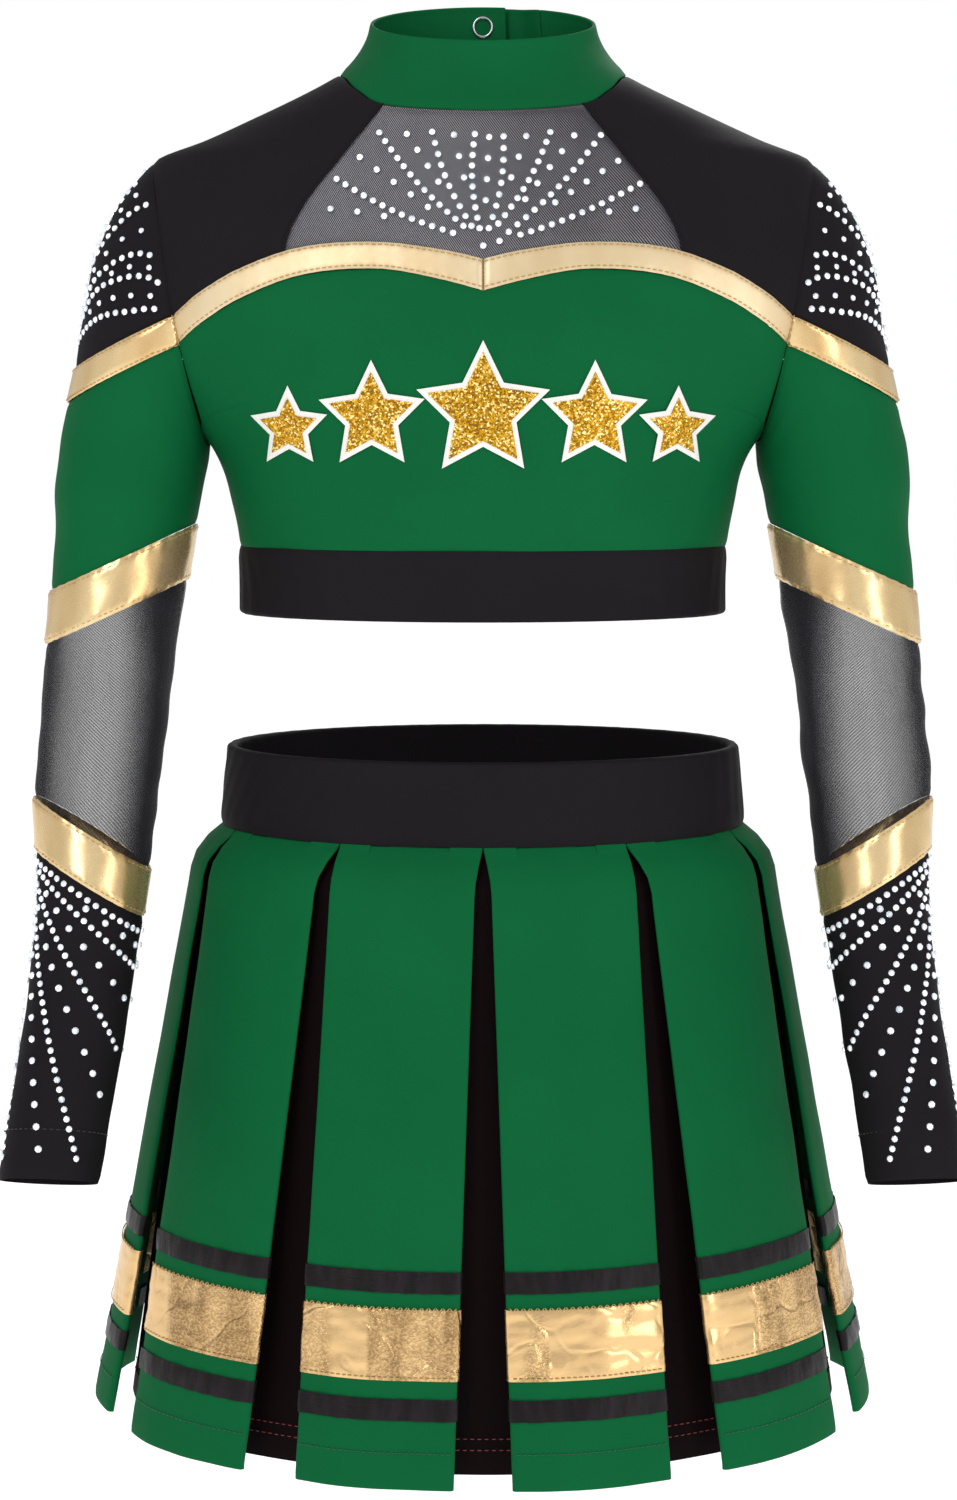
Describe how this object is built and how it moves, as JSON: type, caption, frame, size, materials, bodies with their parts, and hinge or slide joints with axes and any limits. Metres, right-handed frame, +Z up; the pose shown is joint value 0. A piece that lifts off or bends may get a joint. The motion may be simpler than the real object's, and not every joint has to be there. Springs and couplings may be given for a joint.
{
  "type": "cheer uniform",
  "caption": "Two-piece child's cheer uniform: a cropped long-sleeved top with a sheer yoke and gold strips, and a flared box-pleated skirt.",
  "frame": {"origin": "middle of the neck, level with the high points of the shoulders, where the wearer or a dress form holds the top", "axes": "+Z up, the front faces -Y, +X is the wearer's left"},
  "size_m": [0.4322, 0.2474, 0.6593],
  "materials": {
    "green_knit": "smooth stretch knit with a soft sheen",
    "black_knit": "smooth black stretch knit",
    "gold_foil": "metallic foil knit, bright and slightly crinkled",
    "sheer_net": "sheer fine power net",
    "glitter": "coarse gold glitter film",
    "elastic": "woven elastic",
    "snap_metal": "nickel-plated ring snap"
  },
  "bodies": {
    "top": {"collar": "green_knit", "snap_ring": "snap_metal", "snap_stud": "snap_metal", "mesh_yoke": "sheer_net", "shoulder_panel_left": "black_knit", "shoulder_panel_right": "black_knit", "back_yoke_left": "black_knit", "back_yoke_right": "black_knit", "keyhole_binding": "black_knit", "front_binding_left": "gold_foil", "front_binding_right": "gold_foil", "back_binding": "gold_foil", "front_bodice": "green_knit", "back_bodice": "green_knit", "underbust_band": "black_knit", "underbust_elastic": "elastic", "star_far_right": "glitter", "star_right": "glitter", "star_centre": "glitter", "star_left": "glitter", "star_far_left": "glitter"},
    "collar_tab": {"collar_tab": "green_knit", "snap_cap": "snap_metal", "snap_socket": "snap_metal"},
    "sleeve_left": {"cap_left": "black_knit", "cap_strip_left": "gold_foil", "upper_sleeve_left": "green_knit", "upper_strip_left": "gold_foil", "mesh_sleeve_left": "sheer_net"},
    "forearm_left": {"lower_strip_left": "gold_foil", "cuff_left": "black_knit"},
    "sleeve_right": {"cap_right": "black_knit", "cap_strip_right": "gold_foil", "upper_sleeve_right": "green_knit", "upper_strip_right": "gold_foil", "mesh_sleeve_right": "sheer_net"},
    "forearm_right": {"lower_strip_right": "gold_foil", "cuff_right": "black_knit"},
    "skirt": {"waistband": "black_knit", "waist_elastic": "elastic"},
    "panel_1_flap": {"panel_1": "green_knit"},
    "inset_1_flap": {"inset_1": "black_knit"},
    "panel_2_flap": {"panel_2": "green_knit"},
    "inset_2_flap": {"inset_2": "black_knit"},
    "panel_3_flap": {"panel_3": "green_knit"},
    "inset_3_flap": {"inset_3": "black_knit"},
    "panel_4_flap": {"panel_4": "green_knit"},
    "inset_4_flap": {"inset_4": "black_knit"},
    "panel_5_flap": {"panel_5": "green_knit"},
    "inset_5_flap": {"inset_5": "black_knit"},
    "panel_6_flap": {"panel_6": "green_knit"},
    "inset_6_flap": {"inset_6": "black_knit"},
    "panel_7_flap": {"panel_7": "green_knit"},
    "inset_7_flap": {"inset_7": "black_knit"},
    "panel_8_flap": {"panel_8": "green_knit"},
    "inset_8_flap": {"inset_8": "black_knit"},
    "panel_9_flap": {"panel_9": "green_knit"},
    "inset_9_flap": {"inset_9": "black_knit"},
    "panel_10_flap": {"panel_10": "green_knit"},
    "inset_10_flap": {"inset_10": "black_knit"}
  },
  "joints": [
    {"name": "collar_tab_swing", "type": "hinge", "parent": "top", "child": "collar_tab", "pos_m": [0.03034, 0.04113, 0.02055], "axis": [0.1796, 0.2249, -0.9577], "range_deg": [0, 100]},
    {"name": "shoulder_swing_left", "type": "hinge", "parent": "top", "child": "sleeve_left", "pos_m": [0.1385, 0, -0.1015], "axis": [-0.984, 0, 0.1782], "range_deg": [-35, 150]},
    {"name": "elbow_bend_left", "type": "hinge", "parent": "sleeve_left", "child": "forearm_left", "pos_m": [0.175, -0.02, -0.29], "axis": [-1, 0, 0], "range_deg": [-15, 85], "deforming": ["mesh_sleeve_left"]},
    {"name": "shoulder_swing_right", "type": "hinge", "parent": "top", "child": "sleeve_right", "pos_m": [-0.1385, 0, -0.1015], "axis": [-0.984, 0, -0.1782], "range_deg": [-35, 150]},
    {"name": "elbow_bend_right", "type": "hinge", "parent": "sleeve_right", "child": "forearm_right", "pos_m": [-0.175, -0.02, -0.29], "axis": [-1, 0, 0], "range_deg": [-15, 85], "deforming": ["mesh_sleeve_right"]},
    {"name": "skirt_lowering", "type": "slide", "parent": "top", "child": "skirt", "axis": [0, 0, -1], "range_m": [0, 0.2]},
    {"name": "panel_1_flare", "type": "hinge", "parent": "skirt", "child": "panel_1_flap", "pos_m": [0.03248, -0.07911, -0.342], "axis": [-0.984, -0.1781, 0], "range_deg": [0, 12]},
    {"name": "inset_1_flare", "type": "hinge", "parent": "skirt", "child": "inset_1_flap", "pos_m": [0, -0.079, -0.342], "axis": [-1, 0, 0], "range_deg": [0, 12]},
    {"name": "panel_2_flare", "type": "hinge", "parent": "skirt", "child": "panel_2_flap", "pos_m": [0.09228, -0.0545, -0.342], "axis": [-0.8013, -0.5982, 0], "range_deg": [0, 12]},
    {"name": "inset_2_flare", "type": "hinge", "parent": "skirt", "child": "inset_2_flap", "pos_m": [0.06268, -0.06743, -0.342], "axis": [-0.9283, -0.3718, 0], "range_deg": [0, 12]},
    {"name": "panel_3_flare", "type": "hinge", "parent": "skirt", "child": "panel_3_flap", "pos_m": [0.1235, 0.00007, -0.342], "axis": [0.0013, -1, 0], "range_deg": [0, 12]},
    {"name": "inset_3_flare", "type": "hinge", "parent": "skirt", "child": "inset_3_flap", "pos_m": [0.11187, -0.02928, -0.342], "axis": [-0.5217, -0.8531, 0], "range_deg": [0, 12]},
    {"name": "panel_4_flare", "type": "hinge", "parent": "skirt", "child": "panel_4_flap", "pos_m": [0.09221, 0.05455, -0.342], "axis": [0.8018, -0.5975, 0], "range_deg": [0, 12]},
    {"name": "inset_4_flare", "type": "hinge", "parent": "skirt", "child": "inset_4_flap", "pos_m": [0.11183, 0.02935, -0.342], "axis": [0.5227, -0.8525, 0], "range_deg": [0, 12]},
    {"name": "panel_5_flare", "type": "hinge", "parent": "skirt", "child": "panel_5_flap", "pos_m": [0.03238, 0.07913, -0.342], "axis": [0.9841, -0.1775, 0], "range_deg": [0, 12]},
    {"name": "inset_5_flare", "type": "hinge", "parent": "skirt", "child": "inset_5_flap", "pos_m": [0.06259, 0.06746, -0.342], "axis": [0.9286, -0.3712, 0], "range_deg": [0, 12]},
    {"name": "panel_6_flare", "type": "hinge", "parent": "skirt", "child": "panel_6_flap", "pos_m": [-0.03248, 0.07911, -0.342], "axis": [0.984, 0.1781, 0], "range_deg": [0, 12]},
    {"name": "inset_6_flare", "type": "hinge", "parent": "skirt", "child": "inset_6_flap", "pos_m": [0, 0.079, -0.342], "axis": [1, 0, 0], "range_deg": [0, 12]},
    {"name": "panel_7_flare", "type": "hinge", "parent": "skirt", "child": "panel_7_flap", "pos_m": [-0.09228, 0.0545, -0.342], "axis": [0.8013, 0.5982, 0], "range_deg": [0, 12]},
    {"name": "inset_7_flare", "type": "hinge", "parent": "skirt", "child": "inset_7_flap", "pos_m": [-0.06268, 0.06743, -0.342], "axis": [0.9283, 0.3718, 0], "range_deg": [0, 12]},
    {"name": "panel_8_flare", "type": "hinge", "parent": "skirt", "child": "panel_8_flap", "pos_m": [-0.1235, -0.00007, -0.342], "axis": [-0.0013, 1, 0], "range_deg": [0, 12]},
    {"name": "inset_8_flare", "type": "hinge", "parent": "skirt", "child": "inset_8_flap", "pos_m": [-0.11187, 0.02928, -0.342], "axis": [0.5217, 0.8531, 0], "range_deg": [0, 12]},
    {"name": "panel_9_flare", "type": "hinge", "parent": "skirt", "child": "panel_9_flap", "pos_m": [-0.09221, -0.05455, -0.342], "axis": [-0.8018, 0.5975, 0], "range_deg": [0, 12]},
    {"name": "inset_9_flare", "type": "hinge", "parent": "skirt", "child": "inset_9_flap", "pos_m": [-0.11183, -0.02935, -0.342], "axis": [-0.5227, 0.8525, 0], "range_deg": [0, 12]},
    {"name": "panel_10_flare", "type": "hinge", "parent": "skirt", "child": "panel_10_flap", "pos_m": [-0.03238, -0.07913, -0.342], "axis": [-0.9841, 0.1775, 0], "range_deg": [0, 12]},
    {"name": "inset_10_flare", "type": "hinge", "parent": "skirt", "child": "inset_10_flap", "pos_m": [-0.06259, -0.06746, -0.342], "axis": [-0.9286, 0.3712, 0], "range_deg": [0, 12]}
  ],
  "couplings": [
    {"joint": "inset_1_flare", "follows": "panel_1_flare", "ratio": 0.85},
    {"joint": "panel_2_flare", "follows": "panel_1_flare", "ratio": 1},
    {"joint": "inset_2_flare", "follows": "panel_1_flare", "ratio": 0.85},
    {"joint": "panel_3_flare", "follows": "panel_1_flare", "ratio": 1},
    {"joint": "inset_3_flare", "follows": "panel_1_flare", "ratio": 0.85},
    {"joint": "panel_4_flare", "follows": "panel_1_flare", "ratio": 1},
    {"joint": "inset_4_flare", "follows": "panel_1_flare", "ratio": 0.85},
    {"joint": "panel_5_flare", "follows": "panel_1_flare", "ratio": 1},
    {"joint": "inset_5_flare", "follows": "panel_1_flare", "ratio": 0.85},
    {"joint": "panel_6_flare", "follows": "panel_1_flare", "ratio": 1},
    {"joint": "inset_6_flare", "follows": "panel_1_flare", "ratio": 0.85},
    {"joint": "panel_7_flare", "follows": "panel_1_flare", "ratio": 1},
    {"joint": "inset_7_flare", "follows": "panel_1_flare", "ratio": 0.85},
    {"joint": "panel_8_flare", "follows": "panel_1_flare", "ratio": 1},
    {"joint": "inset_8_flare", "follows": "panel_1_flare", "ratio": 0.85},
    {"joint": "panel_9_flare", "follows": "panel_1_flare", "ratio": 1},
    {"joint": "inset_9_flare", "follows": "panel_1_flare", "ratio": 0.85},
    {"joint": "panel_10_flare", "follows": "panel_1_flare", "ratio": 1},
    {"joint": "inset_10_flare", "follows": "panel_1_flare", "ratio": 0.85}
  ]
}
